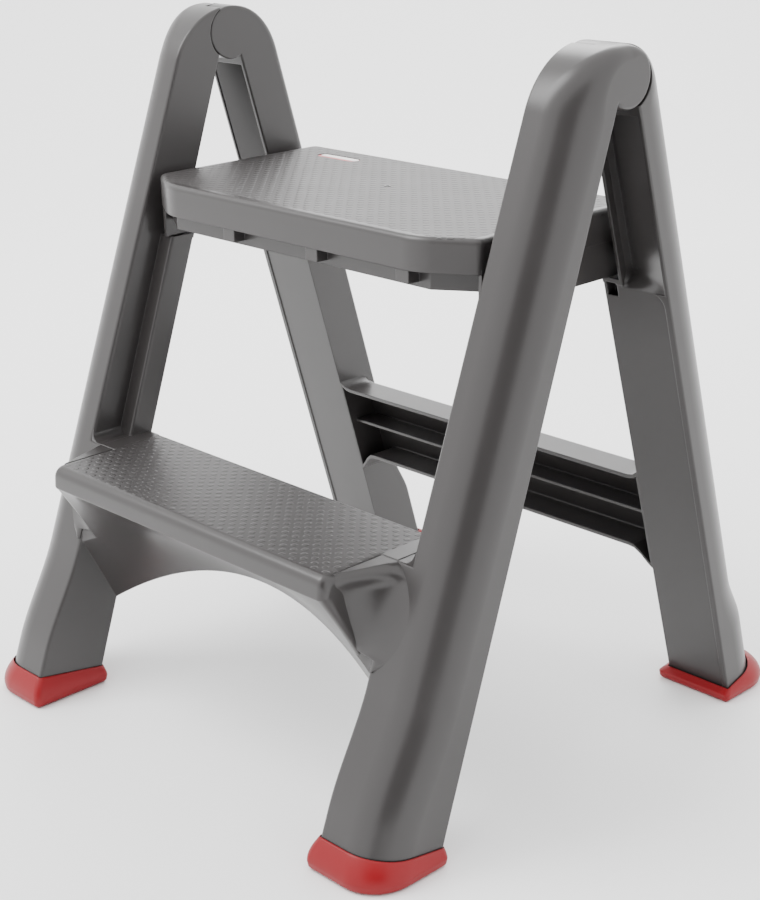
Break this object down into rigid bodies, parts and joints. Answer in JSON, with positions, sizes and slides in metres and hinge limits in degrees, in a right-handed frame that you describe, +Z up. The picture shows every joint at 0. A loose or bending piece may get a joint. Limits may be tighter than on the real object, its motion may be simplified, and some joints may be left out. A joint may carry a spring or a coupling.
{
  "type": "step stool",
  "caption": "Folding step stool with a low front step and a lifting top step between two moulded A-frames with red foot caps.",
  "frame": {"origin": "on the floor, at the bottom centre of the bounding box", "axes": "+Z up, -Y towards the low step (front), +X to the user's left when facing the low step, across the stool"},
  "size_m": [0.488, 0.4882, 0.564],
  "materials": {
    "grey": "satin moulded",
    "red": "satin",
    "steel": "plain",
    "label": "satin"
  },
  "bodies": {
    "front": {"front_frame": "grey", "front_right_foot": "red", "front_left_foot": "red", "right_hinge_pin": "steel", "left_hinge_pin": "steel"},
    "rear": {"rear_frame": "grey", "rear_right_foot": "red", "rear_left_foot": "red", "right_step_pin": "steel", "left_step_pin": "steel"},
    "top": {"top_step": "grey", "label_insert": "label"}
  },
  "joints": [
    {"name": "fold", "type": "hinge", "parent": "front", "child": "rear", "pos_m": [0, 0.0205, 0.5415], "axis": [-1, 0, 0], "range_deg": [0, 34]},
    {"name": "step_lift", "type": "hinge", "parent": "rear", "child": "top", "pos_m": [0, 0.0835, 0.405], "axis": [-1, 0, 0], "range_deg": [0, 73]}
  ]
}
